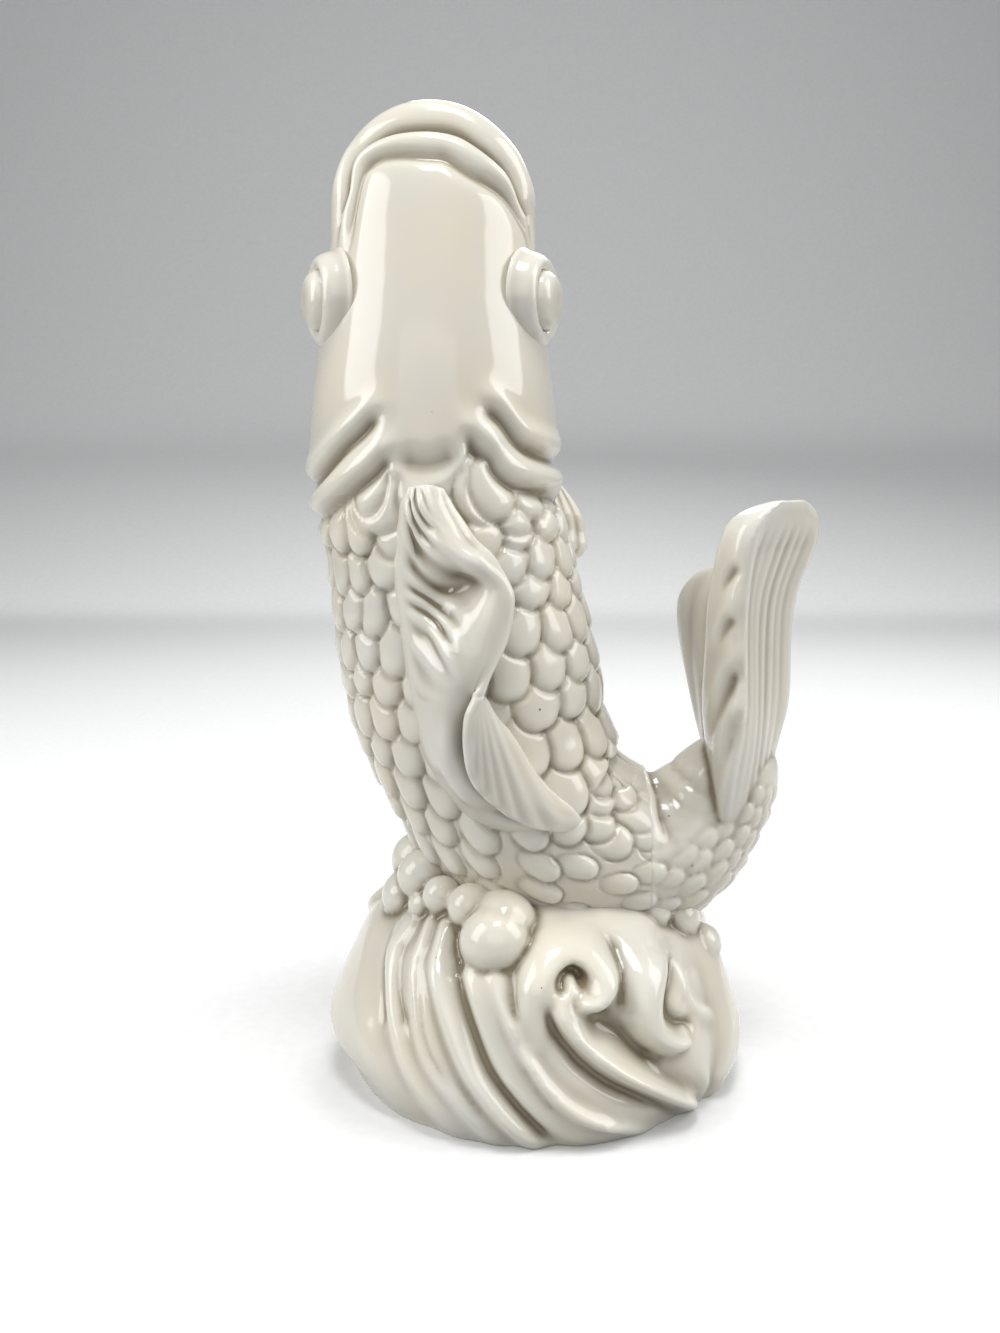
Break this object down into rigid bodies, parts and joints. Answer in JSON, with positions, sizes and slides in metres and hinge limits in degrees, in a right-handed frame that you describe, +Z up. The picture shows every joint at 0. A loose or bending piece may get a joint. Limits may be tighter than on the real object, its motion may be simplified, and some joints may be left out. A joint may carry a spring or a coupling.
{
  "type": "fish figurine",
  "caption": "Leaping carp figurine in glazed white earthenware, head up and tail raised, standing on a round base of curling waves.",
  "frame": {"origin": "middle of the vent hole in the foot, on the plane that the figurine stands on", "axes": "+Z up, -Y out of the fish's back (the side seen in the picture), +X towards the raised tail"},
  "size_m": [0.1401, 0.1182, 0.265],
  "materials": {
    "fish_glaze": "clear gloss glaze over ivory slip",
    "fin_glaze": "clear gloss glaze over ivory slip",
    "eye_glaze": "clear gloss glaze over ivory slip",
    "wave_glaze": "clear gloss glaze, wiped off under the foot",
    "slip": "bare fired slip"
  },
  "bodies": {
    "root": {"base_shell": "wave_glaze", "dorsal_fin": "fin_glaze", "eye_collar_left": "eye_glaze", "eye_collar_right": "eye_glaze", "eyeball_left": "eye_glaze", "eyeball_right": "eye_glaze", "foam_back": "wave_glaze", "foam_front": "wave_glaze", "foam_left": "wave_glaze", "foam_right": "wave_glaze", "head_shell": "fish_glaze", "lower_lip": "fish_glaze", "neck_slip_seam": "slip", "pectoral_fin_left": "fin_glaze", "pectoral_fin_right": "fin_glaze", "pelvic_fin_left": "fin_glaze", "pelvic_fin_right": "fin_glaze", "tail_lobe_far": "fin_glaze", "tail_lobe_near": "fin_glaze", "tail_slip_seam": "slip", "tail_stem_shell": "fish_glaze", "trunk_shell": "fish_glaze", "upper_lip": "fish_glaze", "wave_curl_back": "wave_glaze", "wave_curl_front": "wave_glaze", "wave_curl_left": "wave_glaze", "wave_curl_right": "wave_glaze"}
  },
  "joints": []
}
